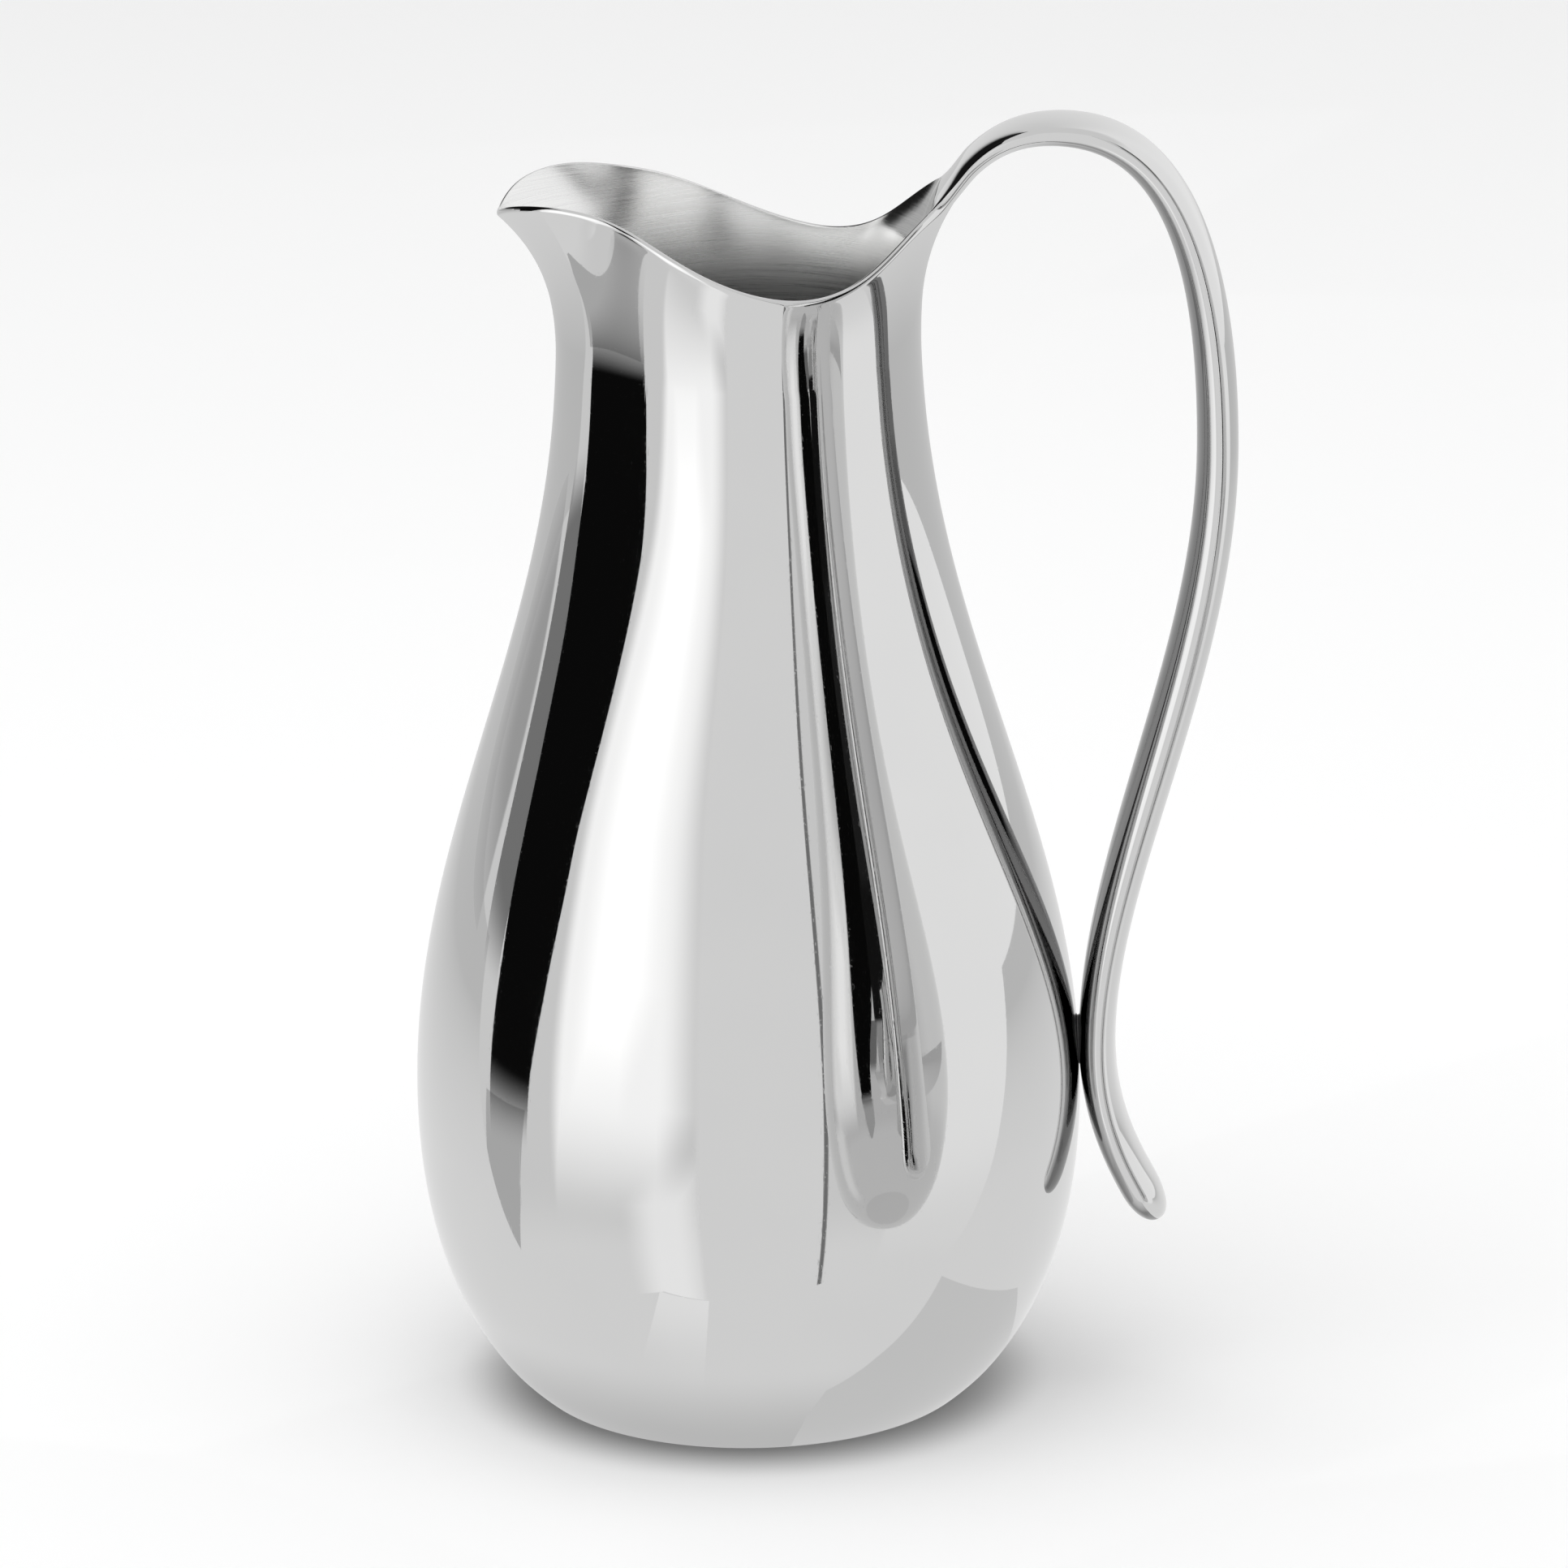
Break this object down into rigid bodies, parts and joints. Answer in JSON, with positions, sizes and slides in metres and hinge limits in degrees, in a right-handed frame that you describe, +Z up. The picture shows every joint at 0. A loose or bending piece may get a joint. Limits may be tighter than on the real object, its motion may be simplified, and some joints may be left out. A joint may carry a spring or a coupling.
{
  "type": "water pitcher",
  "caption": "Tall pear-shaped polished metal water pitcher with a pulled pouring lip and a high looped handle that grows from the back of the rim and rests on the belly.",
  "frame": {"origin": "centre of the flat ring that the pitcher stands on, on the axis of the body", "axes": "+Z up along the body's axis, +X towards the handle, the spout points to -X; symmetric about the XZ plane"},
  "size_m": [0.1761, 0.1426, 0.2781],
  "materials": {
    "mirror_metal": "mirror-polished silver-coloured metal with a circular-brushed inside",
    "satin_metal": "satin, spun finish",
    "solder": "filed and polished solder"
  },
  "bodies": {
    "root": {"body_shell": "mirror_metal", "base_disc": "satin_metal", "base_solder": "solder", "handle_outer": "mirror_metal", "handle_inner": "mirror_metal", "root_solder": "solder", "belly_solder": "solder"}
  },
  "joints": []
}
